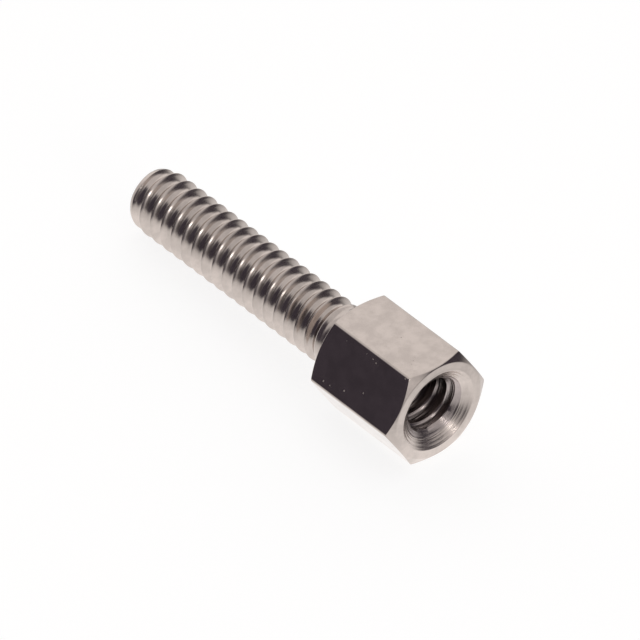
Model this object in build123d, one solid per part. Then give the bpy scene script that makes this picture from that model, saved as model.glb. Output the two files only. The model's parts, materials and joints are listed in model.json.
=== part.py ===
from build123d import *

import math
import os

# D-sub screw lock: a hexagonal standoff head with a tapped hole, on a long threaded shank.
#
# One turned piece. It is drawn along +X with the head's seat face at x = 0, the head on +X and the
# shank on -X, and is then laid down the way it comes to rest: on the rear edge of one flat of the
# head and on the end of the shank. The origin is the middle of the underside of its box.

# ---- driving dimensions, millimetres ------------------------------------------------------------

# head: hexagonal bar
ACROSS_FLATS = 4.50
HEAD_LENGTH = 5.00
LONG_EDGE_ROUND = 0.12       # wear on the six long edges of the bar
FACE_INSET = 0.05            # how far inside the flats each turned end face stops
END_CONE_ANGLE = 30.0        # of the turned end cones, from the plane of the face
END_CONE_CROWN = 0.01        # how far the middle of each cone bulges above its straight slope

# shank: 4-40 UNC, external; the solid is plain at the major diameter
THREAD_MAJOR = 2.80
SHANK_LENGTH = 12.70
SHANK_ROOT = 0.10            # leg of the small cone where the shank meets the seat
POINT_INSET = 0.18           # how far the lead-in narrows, each side
POINT_LENGTH = 0.60

# hole in the head: 4-40 UNC, internal; the solid is plain at the drilled diameter
HOLE_DRILL = 2.26
DRILL_POINT_ANGLE = 118.0
HEAD_WEB = 0.20              # metal left between the tip of the drill point and the seat plane
COUNTERSINK_STEP = 0.70      # how far the countersink stands outside the drilled hole, each side
COUNTERSINK_ANGLE = 110.0

# ---- sizes worked out from them -----------------------------------------------------------------

flat_radius = ACROSS_FLATS / 2
corner_radius = flat_radius / math.cos(math.radians(30))
face_radius = flat_radius - FACE_INSET
cone_setback = (corner_radius - face_radius) * math.tan(math.radians(END_CONE_ANGLE))

shank_radius = THREAD_MAJOR / 2
point_radius = shank_radius - POINT_INSET
point_start = SHANK_LENGTH - POINT_LENGTH

hole_radius = HOLE_DRILL / 2
countersink_radius = hole_radius + COUNTERSINK_STEP
countersink_depth = COUNTERSINK_STEP / math.tan(math.radians(COUNTERSINK_ANGLE / 2))
drill_point_depth = hole_radius / math.tan(math.radians(DRILL_POINT_ANGLE / 2))
hole_depth = HEAD_LENGTH - HEAD_WEB - drill_point_depth    # to the shoulder of the drill point

# the piece lies on the rear end of a flat of the head and on the start of the shank's lead-in
flat_rear_end = FACE_INSET * math.tan(math.radians(END_CONE_ANGLE))
rest_tilt = math.degrees(math.atan2(flat_radius - shank_radius, point_start + flat_rear_end))


def head_bar():
    """Hexagonal bar on +X, one flat facing down, with its six long edges eased."""
    outline = RegularPolygon(radius=corner_radius, side_count=6)
    outline = fillet(outline.vertices(), LONG_EDGE_ROUND)
    return extrude(Plane.YZ * outline, HEAD_LENGTH)


def turned_envelope():
    """Body of revolution that turns the head's two slightly crowned end cones out of the bar."""
    slope = math.radians(END_CONE_ANGLE)
    middle_radius = (face_radius + corner_radius) / 2 + END_CONE_CROWN * math.sin(slope)
    middle_setback = cone_setback / 2 - END_CONE_CROWN * math.cos(slope)
    rear_face = (0, face_radius)
    rear_shoulder = (cone_setback, corner_radius)
    front_shoulder = (HEAD_LENGTH - cone_setback, corner_radius)
    front_face = (HEAD_LENGTH, face_radius)
    half_profile = (
        ThreePointArc(rear_face, (middle_setback, middle_radius), rear_shoulder)
        + Line(rear_shoulder, front_shoulder)
        + ThreePointArc(front_shoulder, (HEAD_LENGTH - middle_setback, middle_radius), front_face)
        + Polyline(front_face, (HEAD_LENGTH, 0), (0, 0), rear_face)
    )
    return revolve(make_face(half_profile), Axis.X)


def shank():
    """Plain-diameter shank on -X: root cone at the seat, thread length and lead-in."""
    half_profile = Polyline(
        (0, 0),
        (0, shank_radius + SHANK_ROOT),
        (-SHANK_ROOT, shank_radius),
        (-point_start, shank_radius),
        (-SHANK_LENGTH, point_radius),
        (-SHANK_LENGTH, 0),
        close=True,
    )
    return revolve(make_face(half_profile), Axis.X)


def tapped_hole():
    """Drilled and countersunk hole, open at the front face."""
    shoulder = HEAD_LENGTH - hole_depth
    half_profile = Polyline(
        (HEAD_LENGTH, 0),
        (HEAD_LENGTH, countersink_radius),
        (HEAD_LENGTH - countersink_depth, hole_radius),
        (shoulder, hole_radius),
        (shoulder - drill_point_depth, 0),
        close=True,
    )
    return revolve(make_face(half_profile), Axis.X)


def screw_lock():
    """The whole piece, drawn along +X with its seat face at x = 0."""
    return (head_bar() & turned_envelope()) + shank() - tapped_hole()


def laid_at_rest(piece):
    """Tip the piece back onto its shank's end, with its underside at z = 0; also return the shift."""
    tipped = Rot(0, -rest_tilt, 0) * piece
    box = tipped.bounding_box()
    middle = box.center()
    return Pos(-middle.X, -middle.Y, -box.min.Z) * tipped, (-middle.X, -middle.Y, -box.min.Z)


def main():
    """Write parts/screw_lock.step and print where the named points of the piece lie."""
    os.makedirs("parts", exist_ok=True)
    piece, shift = laid_at_rest(screw_lock())
    piece.label = "screw_lock"
    export_step(piece, "parts/screw_lock.step")

    tilt = math.radians(rest_tilt)
    forward = (math.cos(tilt), 0.0, math.sin(tilt))
    upward = (-math.sin(tilt), 0.0, math.cos(tilt))

    def place(along, above):
        """Point at a distance along the axis from the seat and above the axis, as laid."""
        return tuple(round(shift[i] + along * forward[i] + above * upward[i], 4) for i in range(3))

    print("rest tilt, degrees", round(rest_tilt, 4))
    print("axis towards the front face", tuple(round(v, 6) for v in forward))
    print("up off the top flat", tuple(round(v, 6) for v in upward))
    print("seat plane on the axis", place(0, 0))
    print("seat ring", place(0, (shank_radius + SHANK_ROOT + face_radius) / 2))
    print("front ring", place(HEAD_LENGTH, (countersink_radius + face_radius) / 2))
    print("top flat", place(HEAD_LENGTH / 2, flat_radius))
    shank_span = point_start - SHANK_ROOT
    print("shank middle", place(-(point_start + SHANK_ROOT) / 2, 0), "length", round(shank_span, 4))
    hole_span = hole_depth - countersink_depth
    hole_middle = place(HEAD_LENGTH - (hole_depth + countersink_depth) / 2, 0)
    print("hole middle", hole_middle, "length", round(hole_span, 4))
    print("volume, mm3", round(piece.volume, 3))


main()
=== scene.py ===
"""Looks of a D-sub screw lock: a hexagonal head with a tapped hole, on a long threaded shank.

The piece is one closed surface. It is laid out as a grid of columns round the axis and rows along
the half profile, from the tip of the shank, over the thread and the head, and down to the drill
point.
"""

import json
import logging
import math
from dataclasses import dataclass
from enum import Enum

import bmesh
import bpy
import numpy as np
from mathutils import Matrix, Vector

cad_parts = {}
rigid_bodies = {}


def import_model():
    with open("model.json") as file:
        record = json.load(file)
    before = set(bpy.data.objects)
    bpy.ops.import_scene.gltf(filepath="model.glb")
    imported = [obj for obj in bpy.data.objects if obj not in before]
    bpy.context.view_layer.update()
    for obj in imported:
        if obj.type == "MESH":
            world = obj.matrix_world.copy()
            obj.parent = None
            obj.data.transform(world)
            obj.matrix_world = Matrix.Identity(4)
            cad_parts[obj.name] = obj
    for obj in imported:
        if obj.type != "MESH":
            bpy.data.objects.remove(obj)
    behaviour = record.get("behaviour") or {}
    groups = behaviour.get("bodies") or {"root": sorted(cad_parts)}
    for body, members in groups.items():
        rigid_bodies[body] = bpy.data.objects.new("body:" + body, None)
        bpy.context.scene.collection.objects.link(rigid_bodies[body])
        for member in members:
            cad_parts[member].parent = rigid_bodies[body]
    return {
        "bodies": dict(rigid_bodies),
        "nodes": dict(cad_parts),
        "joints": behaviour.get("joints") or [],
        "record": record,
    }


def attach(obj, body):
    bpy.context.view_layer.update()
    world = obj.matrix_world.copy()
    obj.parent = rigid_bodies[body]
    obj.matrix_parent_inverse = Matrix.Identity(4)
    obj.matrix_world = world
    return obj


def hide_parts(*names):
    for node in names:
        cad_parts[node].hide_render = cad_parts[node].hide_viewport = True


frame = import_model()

logging.basicConfig(level=logging.INFO, format="%(name)s: %(message)s")
log = logging.getLogger("screw_lock")

MM = 0.001
NODE = "screw_lock"
TURN = 2 * math.pi
CORNER = math.radians(60)
HALF_CORNER = math.radians(30)
TAN30 = math.tan(HALF_CORNER)
ROOT3 = math.sqrt(3)

PITCH = 0.635
COUNTERSINK_HALF_ANGLE = math.radians(55)
EDGE_SUPPORT = math.radians(0.35)
SHARP_ANGLE = math.radians(42)
MERGE_DISTANCE = 2e-7
SLIVER_DISTANCE = 1e-8
TINY = 1e-9

Socket = bpy.types.NodeSocket


class Zone(Enum):
    """Which surface of the piece a face belongs to; the value is its material index."""

    FLATS = 0
    TURNED = 1
    THREAD = 2
    BORE = 3


# ---- sizes --------------------------------------------------------------------------------------


@dataclass(frozen=True)
class Sizes:
    """The piece's own axes and its sizes in millimetres, read from the frame's record."""

    origin: np.ndarray
    axes: np.ndarray
    head: float
    flat: float
    face: float
    mouth: float
    mouth_floor: float
    hole: float
    shoulder: float
    shank: float
    point: float
    tip: float

    @classmethod
    def from_frame(cls, loaded: dict) -> "Sizes":
        """Measure the piece from the record's mounts and the frame's vertices.


        Returns:
            The sizes, with lengths along the axis measured from the seat face.
        """
        mounts = {m["name"]: m for m in loaded["record"]["mounts"]}

        def at(name: str) -> np.ndarray:
            """Place of a mount, in millimetres."""
            return np.array(mounts[name]["pos_m"]) / MM

        forward = np.array(mounts["front_face"]["axis"], float)
        upward = np.array(mounts["wrench_flat"]["axis"], float)
        forward /= np.linalg.norm(forward)
        upward -= forward * upward.dot(forward)
        upward /= np.linalg.norm(upward)
        axes = np.stack([forward, np.cross(upward, forward), upward])

        hole_middle = at("tapped_hole")
        origin = hole_middle - forward * forward.dot(hole_middle - at("seat"))
        hole_dims, shank_dims = mounts["tapped_hole"]["dims"], mounts["shank"]["dims"]
        hole_at = forward.dot(hole_middle - origin)
        head = forward.dot(at("front_face") - origin)
        hole = hole_dims["r_mm"]
        mouth_floor = hole_at + hole_dims["length_mm"] / 2
        mouth = hole + (head - mouth_floor) * math.tan(COUNTERSINK_HALF_ANGLE)
        ring_middle = upward.dot(at("front_face") - origin)

        mesh = loaded["nodes"][NODE].data
        flat_list = np.empty(len(mesh.vertices) * 3)
        mesh.vertices.foreach_get("co", flat_list)
        along = (flat_list.reshape(-1, 3) / MM - origin) @ forward
        return cls(
            origin=origin,
            axes=axes,
            head=head,
            flat=upward.dot(at("wrench_flat") - origin),
            face=2 * ring_middle - mouth,
            mouth=mouth,
            mouth_floor=mouth_floor,
            hole=hole,
            shoulder=hole_at - hole_dims["length_mm"] / 2,
            shank=shank_dims["r_mm"],
            point=forward.dot(at("shank") - origin) - shank_dims["length_mm"] / 2,
            tip=float(along.min()),
        )

    def to_frame(self, local: np.ndarray) -> np.ndarray:
        """Turn local millimetres into the frame's metres.

        Args:
            local: points, last axis (along, across, up).

        Returns:
            The same points in metres: p = (origin + local · axes) / 1000.
        """
        return (self.origin + local @ self.axes) * MM

    def countersink(self, along: "float | np.ndarray") -> "float | np.ndarray":
        """Radius of the countersink's cone: a straight line from the hole to the mouth.

        Args:
            along: distance along the axis.

        Returns:
            Radius in millimetres.
        """
        rise = along - self.mouth_floor
        return self.hole + rise * (self.mouth - self.hole) / (self.head - self.mouth_floor)


# ---- the grid: columns round the axis, rows along the half profile ------------------------------


@dataclass(frozen=True)
class Columns:
    """Angles of the columns and the hexagon's radius at each of them."""

    theta: np.ndarray
    hexagon: np.ndarray

    @classmethod
    def around(cls, flat: float, edge_round: float, arc_steps: int, flat_steps: int) -> "Columns":
        """Lay columns so that every rounded long edge of the hexagon gets its own fine ones.

        With cc = (F − ρ) / cos 30°, the rounded edge runs to atan((F − ρ) tan 30° / F) from the
        middle of the flat. The radius is F / cos α on a flat, α from its normal, and
        cc cos δ + √(ρ² − cc² sin² δ) on an edge, δ from the corner.

        Args:
            flat: distance F from the axis to a flat.
            edge_round: radius ρ of the rounded long edges.
            arc_steps: columns over each rounded edge.
            flat_steps: columns over each flat.

        Returns:
            Columns from 0 to a full turn, both ends included, with a corner at angle 0.
        """
        half = HALF_CORNER - math.atan((flat - edge_round) * TAN30 / flat)
        arc = np.linspace(-half, half, arc_steps + 1)
        side_start = half + EDGE_SUPPORT
        side = np.linspace(side_start, CORNER - side_start, flat_steps - 1)
        middle = arc_steps // 2
        sector = np.concatenate([arc[middle:], side, CORNER + arc[:middle]])
        theta = np.concatenate([sector + CORNER * k for k in range(6)] + [[TURN]])
        from_corner = (theta + HALF_CORNER) % CORNER - HALF_CORNER
        centre = (flat - edge_round) / math.cos(HALF_CORNER)
        under = np.maximum(edge_round**2 - (centre * np.sin(from_corner)) ** 2, 0)
        rounded = centre * np.cos(from_corner) + np.sqrt(under)
        straight = flat / np.cos(HALF_CORNER - np.abs(from_corner))
        return cls(theta, np.where(np.abs(from_corner) < half, rounded, straight))

    def ring(self, along: "float | np.ndarray", radius: "float | np.ndarray") -> np.ndarray:
        """One row of the grid, as an array of shape (2, columns): distance along, radius."""
        wide = np.ones_like(self.theta)
        return np.stack([along * wide, radius * wide])


@dataclass(frozen=True)
class Band:
    """Rows of the grid, shape (rows, 2, columns), and the zone of the faces that end on each."""

    rows: np.ndarray
    zones: np.ndarray

    @classmethod
    def of(cls, rows: np.ndarray, zone: Zone) -> "Band":
        """A band whose faces all belong to one zone."""
        return cls(rows, np.full(len(rows), zone.value))


def smoothstep(low: float, high: float, value: np.ndarray) -> np.ndarray:
    """Ease from 0 to 1: t²(3 − 2t), t = (value − low) / (high − low) held in 0..1."""
    t = np.clip((value - low) / (high - low), 0, 1)
    return t * t * (3 - 2 * t)


@dataclass(frozen=True)
class SoftPath:
    """A broken line of rings whose corners are eased.

    Each corner C becomes the curve (1−t)²A + 2t(1−t)C + t²B, with A and B at the eased distance
    from C on either leg, at most a set share of the shorter leg. The first half of a corner belongs
    to the leg before it.
    """

    knots: list[np.ndarray]
    rounds: list[float]
    legs: list[int]
    zones: list[Zone]
    longest_ease: float = 0.42
    margin: float = 0.02
    widest_margin: float = 0.2
    corner_rows: int = 5

    def eased(self, knot: int, lengths: list[np.ndarray]) -> np.ndarray:
        """How far from a knot the easing reaches, on either leg.

        Args:
            knot: number of the knot.
            lengths: length of each leg, at every column.

        Returns:
            The distance, at every column.
        """
        before, after = lengths[max(knot - 1, 0)], lengths[min(knot, len(lengths) - 1)]
        return np.minimum(self.rounds[knot], self.longest_ease * np.minimum(before, after))

    def band(self) -> Band:
        """Lay the rows, from the first knot to the last.

        Returns:
            The band: the set number of rows on each leg, between its eased ends, and the rows of
            each corner.
        """
        lengths = [np.hypot(*(b - a)) for a, b in zip(self.knots, self.knots[1:])]
        units = [
            (b - a) / np.maximum(length, TINY)
            for a, b, length in zip(self.knots, self.knots[1:], lengths)
        ]
        rows, marks = [self.knots[0]], [self.zones[0].value]
        for k, (a, b) in enumerate(zip(self.knots, self.knots[1:])):
            end = self.eased(k + 1, lengths)
            low, high = a + units[k] * self.eased(k, lengths), b - units[k] * end
            edge = np.minimum(self.margin / np.maximum(lengths[k], TINY), self.widest_margin)
            share = edge + np.linspace(0, 1, self.legs[k])[:, None, None] * (1 - 2 * edge)
            rows += list(low + (high - low) * share)
            marks += [self.zones[k].value] * self.legs[k]
            if k + 2 < len(self.knots):
                after = b + units[k + 1] * end
                for t in np.linspace(0, 1, self.corner_rows):
                    rows.append((1 - t) ** 2 * high + 2 * t * (1 - t) * b + t**2 * after)
                    marks.append(self.zones[k if t <= 0.5 else k + 1].value)
        rows.append(self.knots[-1])
        marks.append(self.zones[-1].value)
        return Band(np.array(rows), np.array(marks))


# ---- threads ------------------------------------------------------------------------------------


@dataclass(frozen=True)
class Helix:
    """A right-handed helix: crest lines at along / pitch − θ / 2π = phase (mod 1)."""

    pitch: float
    phase: float

    def turns(self, along: np.ndarray, theta: np.ndarray) -> np.ndarray:
        """Turns past the nearest crest line."""
        return along / self.pitch - theta / TURN - self.phase

    def distance(self, along: np.ndarray, theta: np.ndarray) -> np.ndarray:
        """Distance along the axis to the nearest crest line."""
        turns = self.turns(along, theta)
        return self.pitch * np.abs(turns - np.round(turns))

    def rows(self, samples: np.ndarray, low: float, high: float, theta: np.ndarray) -> np.ndarray:
        """Distances along the axis of rows that follow the helix, held between two ends.

        x = P (n + s + phase + θ / 2π) for every turn n and sample s, so row i at a full turn lies
        on row i + m at angle 0, with m samples a turn.

        Args:
            samples: positions s of the rows within a turn, from 0 to 1.
            low: lower end.
            high: upper end.
            theta: column angles.

        Returns:
            Array of shape (rows, columns), rising; the first row is all at the lower end and the
            last all at the upper end.
        """
        first = math.floor(low / self.pitch - self.phase) - 2
        last = math.ceil(high / self.pitch - self.phase) + 1
        turn = (np.arange(first, last + 1)[:, None] + samples[None, :]).ravel()
        along = self.pitch * (turn[:, None] + self.phase + theta[None, :] / TURN)
        live = np.flatnonzero((along.max(axis=1) > low) & (along.min(axis=1) < high))
        return np.clip(along[live[0] - 1 : live[-1] + 2], low, high)


@dataclass(frozen=True)
class ShankThread:
    """External thread with rounded crests, straight flanks, a wide rounded root and a run-out."""

    helix: Helix
    sizes: Sizes
    tilt: float = math.radians(59.5)
    crest_round: float = 0.033
    root_round: float = 0.208
    point_inset: float = 0.18
    end_round: float = 0.06
    neck: float = 1.335
    neck_start: float = -0.45
    full_from: float = -1.7
    tip_rings: tuple[float, ...] = (0, 0.3, 0.6, 0.85, 0.97)

    def joints(self) -> tuple[float, float]:
        """Where the rounds of the crest and the root meet the flank.

        Returns:
            Distances from a crest line, c sin τ and P/2 − R sin τ.
        """
        half = self.helix.pitch / 2
        reach = math.sin(self.tilt)
        return self.crest_round * reach, half - self.root_round * reach

    def depth(self, along: np.ndarray, theta: np.ndarray) -> np.ndarray:
        """Depth of the groove below the crest, at a distance d from a crest line.

        Crest: c − √(c² − d²), to d = c sin τ. Flank: slope tan τ. Root: a circle of radius R that
        meets the flank at d = P/2 − R sin τ.

        Args:
            along: distances along the axis.
            theta: column angles.

        Returns:
            Depth in millimetres.
        """
        half, c, r = self.helix.pitch / 2, self.crest_round, self.root_round
        d = self.helix.distance(along, theta)
        leave, meet = self.joints()
        slope, lost = math.tan(self.tilt), 1 - math.cos(self.tilt)
        crest = c - np.sqrt(np.maximum(c**2 - d**2, 0))
        flank = c * lost + slope * (d - leave)
        bottom = c * lost + slope * (meet - leave) + r * lost
        root = bottom - r + np.sqrt(np.maximum(r**2 - (half - d) ** 2, 0))
        return np.where(d < leave, crest, np.where(d < meet, flank, root))

    def samples(self) -> np.ndarray:
        """Where in a turn the rows lie: close on the crest and the root, wide on the flanks.

        Returns:
            Rising positions from 0, the crest line, to just under 1.
        """
        half = self.helix.pitch / 2
        leave, meet = self.joints()
        crest = [0.45 * leave, leave]
        root = [half - self.root_round * math.sin(self.tilt * part) for part in (1.0, 0.66, 0.33)]
        side = np.array(crest + [(leave + meet) / 2] + root) / self.helix.pitch
        return np.concatenate([[0.0], side, [0.5], 1 - side[::-1]])

    def envelope(self, along: np.ndarray, easing: np.ndarray) -> np.ndarray:
        """Radius the thread is cut from: rounded lead-in at the tip, plain length, neck.

        The lead-in is a straight cone, and its end is rounded off by e − √(e² − s²), with s the
        distance short of e from the tip.

        Args:
            along: distances along the axis.
            easing: 0 on the plain length, 1 on the neck.

        Returns:
            Radii in millimetres.
        """
        s = self.sizes
        lead = s.shank - self.point_inset * np.clip((s.point - along) / (s.point - s.tip), 0, 1)
        short = np.clip(self.end_round - (along - s.tip), 0, self.end_round)
        lead = lead - (self.end_round - np.sqrt(self.end_round**2 - short**2))
        return lead - (s.shank - self.neck) * easing

    def radius(self, along: np.ndarray, theta: np.ndarray) -> np.ndarray:
        """Radius of the shank: the lower of its envelope and the thread, which fades to the neck.

        Args:
            along: distances along the axis.
            theta: column angles.

        Returns:
            Radii in millimetres.
        """
        easing = smoothstep(self.full_from, self.neck_start, along)
        thread = self.sizes.shank - self.depth(along, theta) * (1 - easing)
        return np.minimum(self.envelope(along, easing), thread)

    def band(self, columns: Columns) -> Band:
        """Rows from the middle of the tip to the start of the neck.

        Args:
            columns: the grid's columns.

        Returns:
            The band.
        """
        tip, theta = self.sizes.tip, columns.theta
        along = self.helix.rows(self.samples(), tip, self.neck_start, theta)
        wall = np.stack([along, self.radius(along, theta[None, :])], axis=1)
        end = np.array([columns.ring(tip, wall[0, 1] * part) for part in self.tip_rings])
        bands = Band.of(end, Zone.TURNED), Band.of(wall, Zone.THREAD)
        return Band(np.concatenate([end, wall]), np.concatenate([band.zones for band in bands]))


@dataclass(frozen=True)
class HoleThread:
    """Internal thread of the tapped hole, from the countersink to the drill point."""

    helix: Helix
    sizes: Sizes
    groove: float = 0.28
    groove_half: float = 0.205
    start_margin: float = 0.02
    land_margin: float = 0.012
    runout: tuple[float, float] = (0.3, 1.0)
    drill_point_half_angle: float = math.radians(59)
    point_rings: tuple[float, ...] = (0.98, 0.7, 0.4, 0.15, 0)

    def radius(self, along: np.ndarray, theta: np.ndarray) -> np.ndarray:
        """Radius of the hole: the larger of the countersink and the thread's groove.

        Groove: r = hole + √3 (w − d), with d the distance from a crest line, at most its full
        depth; it fades at the bottom.

        Args:
            along: distances along the axis.
            theta: column angles.

        Returns:
            Radii in millimetres.
        """
        s = self.sizes
        d = self.helix.distance(along, theta)
        cut = np.clip(ROOT3 * (self.groove_half - d), 0, self.groove)
        cut = cut * smoothstep(s.shoulder + self.runout[0], s.shoulder + self.runout[1], along)
        return np.maximum(s.hole + cut, s.countersink(along))

    def start(self) -> float:
        """Where the countersink is still just wider than the grooves.

        Returns:
            Distance along the axis.
        """
        s = self.sizes
        wider = self.groove + self.start_margin
        return s.mouth_floor + wider * (s.head - s.mouth_floor) / (s.mouth - s.hole)

    def samples(self) -> np.ndarray:
        """Where in a turn the rows lie: on both edges of the groove's floor and of the land.

        Returns:
            Rising positions from 0, the middle of the groove, to just under 1.
        """
        w, margin = self.groove_half, self.land_margin
        flat = w - self.groove / ROOT3
        side = [0.6 * flat, 1.5 * flat, 0.5 * (flat + w), w - margin, w + margin]
        side = np.array(side) / self.helix.pitch
        return np.concatenate([[0.0], side, [0.5], 1 - side[::-1]])

    def band(self, columns: Columns) -> Band:
        """Rows from the countersink to the middle of the drill point.

        Args:
            columns: the grid's columns.

        Returns:
            The band.
        """
        s, theta = self.sizes, columns.theta
        along = self.helix.rows(self.samples(), s.shoulder, self.start(), theta)[::-1]
        wall = np.stack([along, self.radius(along, theta[None, :])], axis=1)
        deep = s.hole / math.tan(self.drill_point_half_angle)
        point = np.array(
            [
                columns.ring(s.shoulder - deep * (1 - part), s.hole * part)
                for part in self.point_rings
            ]
        )
        return Band.of(np.concatenate([wall, point]), Zone.BORE)


# ---- head ---------------------------------------------------------------------------------------


@dataclass(frozen=True)
class HexHead:
    """Neck, seat face, end cones, flats and front ring of the head."""

    sizes: Sizes
    root_leg: float = 0.12
    root_rounds: tuple[float, float] = (0.05, 0.02)
    edge: float = 0.022
    face_edge: float = 0.03
    neck_gap: float = 0.02
    mouth_gap: float = 0.005

    def band(self, columns: Columns, thread: ShankThread, hole: HoleThread) -> Band:
        """Rows from the neck, over the head, to the upper part of the countersink.

        Each end cone meets the flats at x = (r_hex − r_face) tan 30° from its end of the head.

        Args:
            columns: the grid's columns.
            thread: the shank's thread, for the neck it ends in.
            hole: the hole's thread, for where it begins.

        Returns:
            The band.
        """
        s = self.sizes
        setback = (columns.hexagon - s.face) * TAN30
        low = hole.start()
        knots = [
            columns.ring(thread.neck_start + self.neck_gap, thread.neck),
            columns.ring(-self.root_leg, thread.neck),
            columns.ring(0.0, thread.neck + self.root_leg),
            columns.ring(0.0, s.face),
            columns.ring(setback, columns.hexagon),
            columns.ring(s.head - setback, columns.hexagon),
            columns.ring(s.head, s.face),
            columns.ring(s.head, s.mouth),
            columns.ring(low + self.mouth_gap, s.countersink(low) + self.mouth_gap),
        ]
        rounds = [0, *self.root_rounds, *[self.edge] * 3, self.face_edge, self.edge, 0]
        legs = [6, 2, 4, 3, 12, 3, 4, 5]
        zones = [Zone.TURNED] * 4 + [Zone.FLATS] + [Zone.TURNED] * 3
        return SoftPath(knots, rounds, legs, zones).band()


# ---- finishes -----------------------------------------------------------------------------------


class Nodes:
    """A short way to lay out a node tree."""

    def __init__(self, tree: bpy.types.NodeTree) -> None:
        """Start from an empty tree."""
        self.tree = tree
        tree.nodes.clear()

    def add(self, kind: str, inputs: "dict | None" = None, **settings: object) -> bpy.types.Node:
        """Add a node.

        Args:
            kind: type name after "ShaderNode".
            inputs: value or output socket for each input, by name or number.
            settings: properties of the node.

        Returns:
            The node.
        """
        node = self.tree.nodes.new("ShaderNode" + kind)
        for key, value in settings.items():
            setattr(node, key, value)
        for key, value in (inputs or {}).items():
            socket = node.inputs[key]
            if isinstance(value, Socket):
                self.tree.links.new(value, socket)
            else:
                socket.default_value = value
        return node

    def math(self, operation: str, *values: "float | Socket") -> Socket:
        """Result of a math node."""
        return self.add("Math", dict(enumerate(values)), operation=operation).outputs[0]

    def vector(self, operation: str, *values: "tuple | Socket") -> bpy.types.Node:
        """A vector math node."""
        return self.add("VectorMath", dict(enumerate(values)), operation=operation)

    def noise(self, place: Socket, rate: float, detail: float, **inputs: float) -> Socket:
        """Result of a noise node, with so many lumps to a millimetre."""
        values = {"Vector": place, "Scale": rate, "Detail": detail, **inputs}
        return self.add("TexNoise", values).outputs[0]

    def ease(
        self, value: Socket, low: float, high: float, start: float = 0.0, end: float = 1.0
    ) -> Socket:
        """Smooth map from one range to another.

        Args:
            value: what to map.
            low: value at which the result is start.
            high: value at which the result is end.
            start: result at and below low.
            end: result at and above high.

        Returns:
            The mapped value.
        """
        inputs = {"Value": value, "From Min": low, "From Max": high, "To Min": start, "To Max": end}
        return self.add("MapRange", inputs, interpolation_type="SMOOTHSTEP").outputs[0]

    def mix(self, share: Socket, first: "tuple | Socket", second: "tuple | Socket") -> Socket:
        """Mix of two colours: the first where the share is 0, the second where it is 1."""
        return self.add("Mix", {0: share, 6: first, 7: second}, data_type="RGBA").outputs[2]


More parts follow.
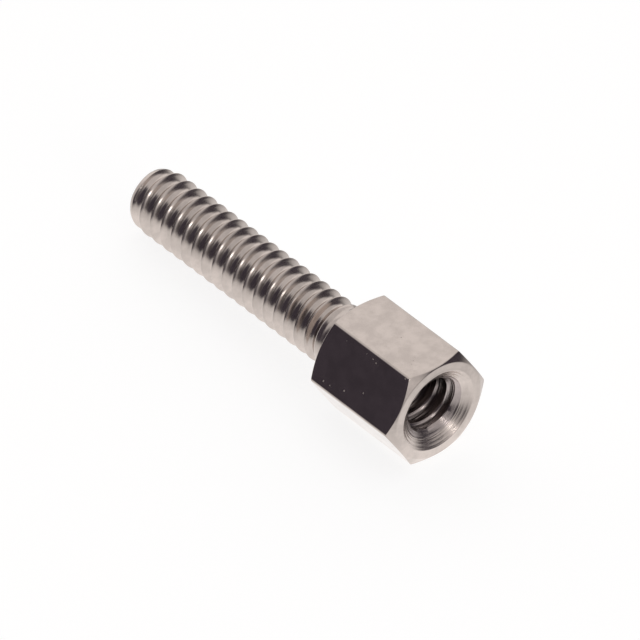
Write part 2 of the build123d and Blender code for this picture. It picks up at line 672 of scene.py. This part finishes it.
@dataclass(frozen=True)
class Finish:
    """One look of the plated metal; its patterns are laid in the piece's own axes.

    Heights are in millimetres and rates in lumps to a millimetre. The turning rings grow stronger
    and duller from the front ring into the countersink.
    """

    name: str
    color: tuple[float, float, float]
    roughness: float
    roughness_spread: float
    ripple_height: float
    ripple_rate: float
    ring_height: float = 0.0
    ring_rate: float = 8.0
    mouth_ring_gain: float = 4.5
    mouth_roughness: float = 0.07
    speck_roughness: float = 0.0
    speck_rate: float = 3.2
    speck_size: tuple[float, float] = (0.06, 0.17)
    speck_field_rate: float = 2.1
    speck_field: tuple[float, float] = (0.53, 0.58)
    cloud_rate: float = 3.0
    patch_rate: float = 1.3
    patch_edges: tuple[float, float] = (0.35, 0.65)
    patch_shades: tuple[float, float] = (0.90, 1.06)

    def place(self, n: Nodes, sizes: Sizes) -> Socket:
        """Object coordinates turned into the piece's own axes, in millimetres.

        Args:
            n: the material's nodes.
            sizes: gives the axes.

        Returns:
            The coordinates: along, across and up.
        """
        turn = Matrix([list(row) for row in sizes.axes]).transposed().to_euler()
        inputs = {
            "Vector": n.add("TexCoord").outputs["Object"],
            "Location": tuple(sizes.origin * MM),
            "Rotation": tuple(turn),
            "Scale": (MM, MM, MM),
        }
        return n.add("Mapping", inputs, vector_type="TEXTURE").outputs[0]

    def rings(self, n: Nodes, local: Socket, sizes: Sizes) -> tuple[Socket, Socket]:
        """Turning rings: noise on along + √(across² + up²).

        Args:
            n: the material's nodes.
            local: the coordinates.
            sizes: gives the radii of the front ring.

        Returns:
            Height of the rings and roughness added by them.
        """
        along, across, up = n.add("SeparateXYZ", {0: local}).outputs
        squares = n.math("ADD", n.math("MULTIPLY", across, across), n.math("MULTIPLY", up, up))
        out = n.math("SQRT", squares)
        inputs = {
            "W": n.math("MULTIPLY", n.math("ADD", out, along), self.ring_rate),
            "Scale": 1.0,
            "Detail": 3.0,
        }
        noise = n.add("TexNoise", inputs, noise_dimensions="1D").outputs[0]
        ring_middle, mouth = (sizes.mouth + sizes.face) / 2, sizes.mouth
        strongest = self.mouth_ring_gain * self.ring_height
        strength = n.ease(out, ring_middle, mouth, self.ring_height, strongest)
        dullness = n.ease(out, ring_middle, mouth, 0.0, self.mouth_roughness)
        return n.math("MULTIPLY", noise, strength), dullness

    def specks(self, n: Nodes, local: Socket) -> Socket:
        """Small dull spots, in some fields only.

        Args:
            n: the material's nodes.
            local: the coordinates.

        Returns:
            1 in a speck and 0 elsewhere, eased.
        """
        inputs = {"Vector": local, "Scale": self.speck_rate, "Randomness": 1.0}
        spots = n.add("TexVoronoi", inputs, feature="F1").outputs[0]
        where = n.noise(local, self.speck_field_rate, 2.0)
        speck = n.ease(spots, *self.speck_size, 1.0, 0.0)
        return n.math("MULTIPLY", speck, n.ease(where, *self.speck_field))

    def material(self, sizes: Sizes) -> bpy.types.Material:
        """Make the material.

        Args:
            sizes: gives the axes and the radii of the front ring.

        Returns:
            The material.
        """
        material = bpy.data.materials.new(self.name)
        material.use_nodes = True
        n = Nodes(material.node_tree)
        local = self.place(n, sizes)

        cloud = n.math("SUBTRACT", n.noise(local, self.cloud_rate, 4.0), 0.5)
        roughness = n.math("MULTIPLY_ADD", cloud, self.roughness_spread * 2, self.roughness)
        ripple = n.noise(local, self.ripple_rate, 3.0)
        height = n.math("MULTIPLY", ripple, self.ripple_height)
        if self.ring_height > 0:
            rings, dullness = self.rings(n, local, sizes)
            height = n.math("ADD", height, rings)
            roughness = n.math("ADD", roughness, dullness)
        if self.speck_roughness > 0:
            specks = self.specks(n, local)
            roughness = n.math("MULTIPLY_ADD", specks, self.speck_roughness, roughness)

        patches = n.noise(local, self.patch_rate, 5.0, Roughness=0.6)
        dull, clear = (tuple(v * shade for v in self.color) + (1.0,) for shade in self.patch_shades)
        bump = n.add("Bump", {"Strength": 1.0, "Distance": MM, "Height": height})
        inputs = {
            "Base Color": n.mix(n.ease(patches, *self.patch_edges), dull, clear),
            "Metallic": 1.0,
            "Roughness": roughness,
            "Normal": bump.outputs[0],
        }
        shader = n.add("BsdfPrincipled", inputs)
        n.add("OutputMaterial", {"Surface": shader.outputs[0]})
        return material


NICKEL = (0.60, 0.53, 0.49)
# The same nickel darkened as painted shade for the recess of the tapped hole.
NICKEL_WITH_PAINTED_HOLE_SHADE = (0.44, 0.385, 0.37)

FINISHES = {
    Zone.FLATS: Finish(
        name="nickel_on_flats",
        color=NICKEL,
        roughness=0.11,
        roughness_spread=0.03,
        ripple_height=0.0016,
        ripple_rate=0.6,
        speck_roughness=0.5,
    ),
    Zone.TURNED: Finish(
        name="nickel_on_turned_faces",
        color=NICKEL,
        roughness=0.17,
        roughness_spread=0.05,
        ripple_height=0.0008,
        ripple_rate=1.5,
        ring_height=0.0030,
    ),
    Zone.THREAD: Finish(
        name="nickel_on_thread",
        color=NICKEL,
        roughness=0.21,
        roughness_spread=0.06,
        ripple_height=0.0012,
        ripple_rate=3.0,
    ),
    # The hole's walls take the darker nickel: painted shade in the recess, on top of the rendered
    # shadow.
    Zone.BORE: Finish(
        name="nickel_in_hole_with_painted_shade",
        color=NICKEL_WITH_PAINTED_HOLE_SHADE,
        roughness=0.15,
        roughness_spread=0.05,
        ripple_height=0.0012,
        ripple_rate=3.0,
        ring_height=0.0030,
    ),
}


# ---- the piece ----------------------------------------------------------------------------------


@dataclass(frozen=True)
class ScrewLock:
    """The whole piece as one mesh."""

    sizes: Sizes
    edge_round: float = 0.13
    arc_steps: int = 8
    flat_steps: int = 24
    shank_phase: float = 0.986
    hole_phase: float = 0.90

    def bands(self, columns: Columns) -> list[Band]:
        """All rows of the grid, from the tip of the shank to the drill point.

        Args:
            columns: the grid's columns.

        Returns:
            The bands of the shank, the head and the hole.
        """
        thread = ShankThread(Helix(PITCH, self.shank_phase), self.sizes)
        hole = HoleThread(Helix(PITCH, self.hole_phase), self.sizes)
        head = HexHead(self.sizes)
        return [thread.band(columns), head.band(columns, thread, hole), hole.band(columns)]

    def mesh(self) -> bpy.types.Mesh:
        """Make the mesh, open at its seam and poles.

        A grid point is at along · e_x + r cos θ · e_y + r sin θ · e_z.

        Returns:
            The mesh, with each face's material index.
        """
        columns = Columns.around(self.sizes.flat, self.edge_round, self.arc_steps, self.flat_steps)
        bands = self.bands(columns)
        rows = np.concatenate([band.rows for band in bands])
        zones = np.concatenate([band.zones for band in bands])
        along, radius = rows[:, 0], rows[:, 1]
        theta = columns.theta[None, :]
        local = np.stack([along, radius * np.cos(theta), radius * np.sin(theta)], axis=-1)
        points = self.sizes.to_frame(local)

        height, width = along.shape
        index = np.arange(height * width).reshape(height, width)
        corners = [index[:-1, :-1], index[:-1, 1:], index[1:, 1:], index[1:, :-1]]
        quads = np.stack(corners, axis=-1).reshape(-1, 4)
        material_index = np.repeat(zones[1:], width - 1)

        mesh = bpy.data.meshes.new(NODE + "_plated")
        mesh.vertices.add(height * width)
        mesh.vertices.foreach_set("co", points.astype(np.float32).ravel())
        mesh.loops.add(quads.size)
        mesh.loops.foreach_set("vertex_index", quads.astype(np.int32).ravel())
        mesh.polygons.add(len(quads))
        mesh.polygons.foreach_set("loop_start", np.arange(0, quads.size, 4, dtype=np.int32))
        mesh.polygons.foreach_set("material_index", material_index.astype(np.int32))
        mesh.update(calc_edges=True)
        return mesh

    @staticmethod
    def close(mesh: bpy.types.Mesh) -> None:
        """Join the seam, the poles and the rows held at the threads' ends, and log the result.

        Args:
            mesh: the mesh to close.
        """
        work = bmesh.new()
        work.from_mesh(mesh)
        bmesh.ops.remove_doubles(work, verts=work.verts, dist=MERGE_DISTANCE)
        bmesh.ops.dissolve_degenerate(work, edges=work.edges, dist=SLIVER_DISTANCE)
        open_edges = sum(not edge.is_manifold for edge in work.edges)
        triangles = sum(len(face.verts) - 2 for face in work.faces)
        volume = work.calc_volume(signed=True) / MM**3
        log.info("open edges %d, triangles %d, volume %.3f mm3", open_edges, triangles, volume)
        work.to_mesh(mesh)
        work.free()

    def build(self) -> bpy.types.Object:
        """Make the closed mesh, dress it and put it in the scene.

        Returns:
            The object, at the origin.
        """
        mesh = self.mesh()
        self.close(mesh)
        for zone in Zone:
            mesh.materials.append(FINISHES[zone].material(self.sizes))
        mesh.shade_smooth()
        mesh.set_sharp_from_angle(angle=SHARP_ANGLE)
        piece = bpy.data.objects.new(NODE + "_plated", mesh)
        bpy.context.scene.collection.objects.link(piece)
        return piece


# ---- setting ------------------------------------------------------------------------------------


@dataclass(frozen=True)
class Viewpoint:
    """Where the camera stands: angles in degrees, lengths in millimetres."""

    azimuth: float = 48.1436
    elevation: float = 43.5599
    roll: float = 2.1933
    distance: float = 1001.946
    aim: tuple[float, float, float] = (1.1866, 0.3324, 1.7038)
    lens: float = 1414.27
    sensor: float = 36.0
    clip: tuple[float, float] = (50.0, 50000.0)

    def directions(self) -> tuple[Vector, Vector, Vector]:
        """Work out which way the camera faces.

        Returns:
            Forward, right and up, with right and up turned by the roll.
        """
        a, e, turn = (math.radians(v) for v in (self.azimuth, self.elevation, self.roll))
        forward = Vector((-math.sin(a) * math.cos(e), math.cos(a) * math.cos(e), -math.sin(e)))
        level = Vector((math.cos(a), math.sin(a), 0.0))
        upright = level.cross(forward)
        right = level * math.cos(turn) + upright * math.sin(turn)
        return forward, right, upright * math.cos(turn) - level * math.sin(turn)

    def place(self) -> bpy.types.Object:
        """Make the scene's camera.

        Returns:
            The camera.
        """
        forward, right, up = self.directions()
        data = bpy.data.cameras.new("camera")
        data.sensor_width = self.sensor
        data.lens = self.lens
        data.clip_start, data.clip_end = (length * MM for length in self.clip)
        camera = bpy.data.objects.new("camera", data)
        turn = Matrix((right, up, -forward)).transposed().to_4x4()
        stand = (Vector(self.aim) - forward * self.distance) * MM
        camera.matrix_world = Matrix.Translation(stand) @ turn
        bpy.context.scene.collection.objects.link(camera)
        bpy.context.scene.camera = camera
        return camera


@dataclass(frozen=True)
class Room:
    """Pale room that is dark on the camera's left and low on its right, with a white table.

    Directions are an angle round from the camera, positive to its right, and a height, in degrees.
    A pair of angles or heights is where a shade begins and ends to fade. Lengths are in metres.
    """

    view: Viewpoint
    bright: tuple[float, float, float] = (0.70, 0.685, 0.68)
    far: tuple[float, float, float] = (0.95, 0.93, 0.92)
    dark: tuple[float, float, float] = (0.058, 0.050, 0.064)
    left_from: tuple[float, float] = (-112.0, -88.0)
    left_to: tuple[float, float] = (11.0, 35.0)
    left_top: tuple[float, float] = (60.0, 74.0)
    right_from: tuple[float, float] = (50.0, 66.0)
    right_to: tuple[float, float] = (100.0, 150.0)
    right_top: tuple[float, float] = (16.0, 31.0)
    far_ahead: tuple[float, float] = (-0.55, -0.75)
    far_top: tuple[float, float] = (50.0, 40.0)
    lamp_around: float = 37.0
    lamp_height: float = 22.5
    lamp_away: float = 0.5
    lamp_spread: tuple[float, float] = (4.3, 2.8)
    lamp_radiance: float = 7.0
    lamp_color: tuple[float, float, float] = (1.0, 0.98, 0.96)
    table_radius: float = 0.045
    table_sides: int = 96
    table_color: tuple[float, float, float] = (0.3, 0.297, 0.294)
    table_glow: float = 0.84
    lit_half: tuple[float, float, float] = (0.009, 0.001, 0.0)
    lit_reach: float = 0.013

    def shade(self, n: Nodes, around: Socket, height: Socket) -> Socket:
        """Share of the dark band on the left and of the low one on the right.

        Args:
            n: the world's nodes.
            around: angle round from the camera.
            height: height.

        Returns:
            The larger share.
        """
        bands = (
            (self.left_from, self.left_to, self.left_top),
            (self.right_from, self.right_to, self.right_top),
        )
        shares = []
        for begins, ends, top in bands:
            side = n.math("MULTIPLY", n.ease(around, *begins), n.ease(around, *ends, 1.0, 0.0))
            shares.append(n.math("MULTIPLY", side, n.ease(height, *top, 1.0, 0.0)))
        return n.math("MAXIMUM", *shares)

    def world(self) -> None:
        """Colour the room by direction, and make it plain white to the camera."""
        world = bpy.data.worlds.new("room")
        bpy.context.scene.world = world
        world.use_nodes = True
        n = Nodes(world.node_tree)
        direction = n.add("TexCoord").outputs["Generated"]
        a = math.radians(self.view.azimuth)
        ahead = n.vector("DOT_PRODUCT", direction, (math.sin(a), -math.cos(a), 0.0)).outputs[1]
        aside = n.vector("DOT_PRODUCT", direction, (math.cos(a), math.sin(a), 0.0)).outputs[1]
        around = n.math("DEGREES", n.math("ARCTAN2", aside, ahead))
        upward = n.add("SeparateXYZ", {0: direction}).outputs[2]
        height = n.math("DEGREES", n.math("ARCSINE", upward))

        shade = self.shade(n, around, height)
        color = n.mix(shade, (*self.bright, 1), (*self.dark, 1))
        back = n.math("MULTIPLY", n.ease(ahead, *self.far_ahead), n.ease(height, *self.far_top))
        far = n.math("MULTIPLY", back, n.math("SUBTRACT", 1.0, shade))
        color = n.mix(far, color, (*self.far, 1))
        seen = n.add("LightPath").outputs["Is Camera Ray"]
        color = n.mix(seen, color, (1, 1, 1, 1))
        background = n.add("Background", {"Color": color, "Strength": 1.0})
        n.add("OutputWorld", {"Surface": background.outputs[0]})

    def cloth(self) -> bpy.types.Material:
        """Make the table's material: it glows for the camera, and in reflections near the piece.

        The glow in reflections is a painted pool of light round the piece: it falls as e^(−q /
        reach), q the distance outside the lit middle.

        Returns:
            The material.
        """
        material = bpy.data.materials.new("table")
        material.use_nodes = True
        n = Nodes(material.node_tree)
        beside = n.vector("ABSOLUTE", n.add("TexCoord").outputs["Object"]).outputs[0]
        past = n.vector("SUBTRACT", beside, self.lit_half).outputs[0]
        outside = n.vector("MAXIMUM", past, (0, 0, 0)).outputs[0]
        away = n.vector("LENGTH", outside).outputs[1]
        fall = n.math("EXPONENT", n.math("DIVIDE", away, -self.lit_reach))
        path = n.add("LightPath").outputs
        shown = n.math("MULTIPLY", path["Is Camera Ray"], self.table_glow)
        # Painted pool of light: glossy rays see the table glow near the piece, while camera rays
        # see it evenly white.
        strength = n.math("MULTIPLY_ADD", path["Is Glossy Ray"], fall, shown)
        glow = n.add("Emission", {"Color": (1, 1, 1, 1), "Strength": strength})
        cloth = n.add("BsdfDiffuse", {"Color": (*self.table_color, 1)})
        both = n.add("AddShader", {0: glow.outputs[0], 1: cloth.outputs[0]})
        n.add("OutputMaterial", {"Surface": both.outputs[0]})
        return material

    def table(self) -> bpy.types.Object:
        """Make the white disc at z = 0 that shows the piece's shadow.

        Returns:
            The disc.
        """
        mesh = bpy.data.meshes.new("table")
        angle = np.linspace(0, TURN, self.table_sides, endpoint=False)
        rim = np.stack([np.cos(angle), np.sin(angle), np.zeros_like(angle)], axis=1)
        rim = rim * self.table_radius
        mesh.from_pydata(rim.tolist(), [], [list(range(len(rim)))])
        mesh.materials.append(self.cloth())
        table = bpy.data.objects.new("table", mesh)
        bpy.context.scene.collection.objects.link(table)
        return table

    def lamp(self) -> bpy.types.Object:
        """Make the small low lamp: sides 2 · away · tan spread, power radiance · π · area.

        Returns:
            The lamp.
        """
        a = math.radians(self.view.azimuth + self.lamp_around)
        e = math.radians(self.lamp_height)
        way = Vector((math.sin(a) * math.cos(e), -math.cos(a) * math.cos(e), math.sin(e)))
        wide, tall = (2 * self.lamp_away * math.tan(math.radians(v)) for v in self.lamp_spread)
        data = bpy.data.lights.new("lamp", "AREA")
        data.shape = "RECTANGLE"
        data.size, data.size_y = wide, tall
        data.energy = self.lamp_radiance * math.pi * wide * tall
        data.color = self.lamp_color
        lamp = bpy.data.objects.new("lamp", data)
        turn = way.to_track_quat("Z", "Y").to_matrix().to_4x4()
        lamp.matrix_world = Matrix.Translation(way * self.lamp_away) @ turn
        bpy.context.scene.collection.objects.link(lamp)
        return lamp

    def build(self) -> list[bpy.types.Object]:
        """Make the room and return the objects that are not part of the piece."""
        self.world()
        return [self.table(), self.lamp()]


def main() -> None:
    """Build the piece, its setting and the camera, and report the piece."""
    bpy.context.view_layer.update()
    sizes = Sizes.from_frame(frame)
    piece = ScrewLock(sizes).build()
    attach(piece, "root")
    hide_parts(NODE)
    finishes = ", ".join(material.name for material in piece.data.materials)
    log.info("%s: %d faces in %s", piece.name, len(piece.data.polygons), finishes)
    view = Viewpoint()
    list(Room(view).build())
    view.place()
    bpy.context.scene.view_settings.view_transform = "Standard"


if __name__ == "__main__":
    main()
